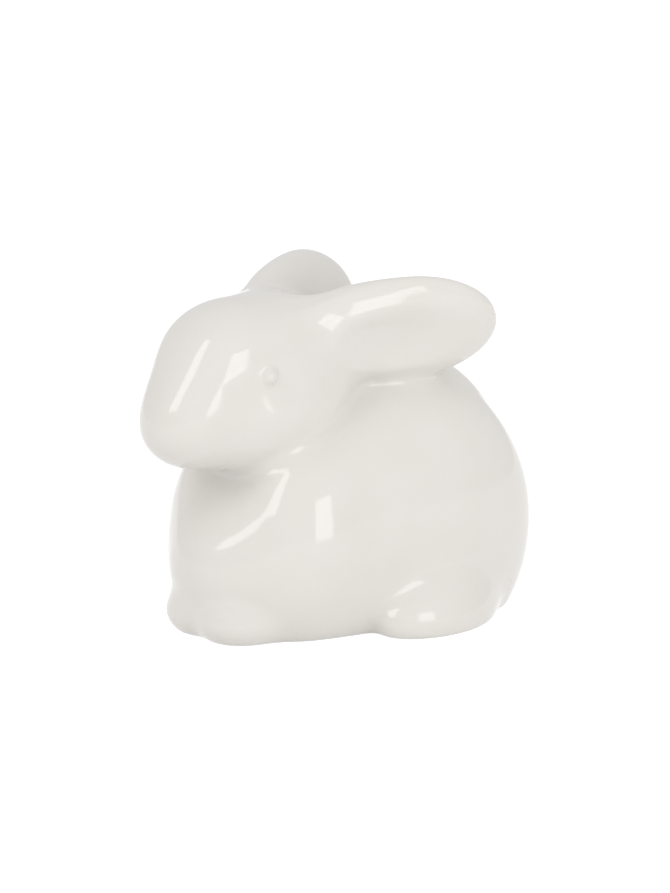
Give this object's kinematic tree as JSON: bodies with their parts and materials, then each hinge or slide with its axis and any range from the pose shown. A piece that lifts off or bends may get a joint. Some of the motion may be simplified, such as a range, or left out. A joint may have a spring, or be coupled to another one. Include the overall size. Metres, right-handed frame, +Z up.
{
  "type": "ceramic rabbit figurine",
  "caption": "Small sitting rabbit ornament in white glazed ceramic, hollow cast, with ears laid back and a flat foot to stand on.",
  "frame": {"origin": "on the flat foot that the figurine stands on, under the middle of the trunk", "axes": "+Z up, the rabbit faces -Y, +X is the rabbit's left side"},
  "size_m": [0.0648, 0.0922, 0.0736],
  "materials": {
    "white_glaze": "clear glossy glaze over a warm white body"
  },
  "bodies": {
    "root": {"body_shell": "white_glaze", "head_shell": "white_glaze", "ear_left": "white_glaze", "ear_right": "white_glaze", "haunch_left": "white_glaze", "haunch_right": "white_glaze", "hind_foot_left": "white_glaze", "hind_foot_right": "white_glaze", "front_paw_left": "white_glaze", "front_paw_right": "white_glaze", "tail": "white_glaze"}
  },
  "joints": []
}
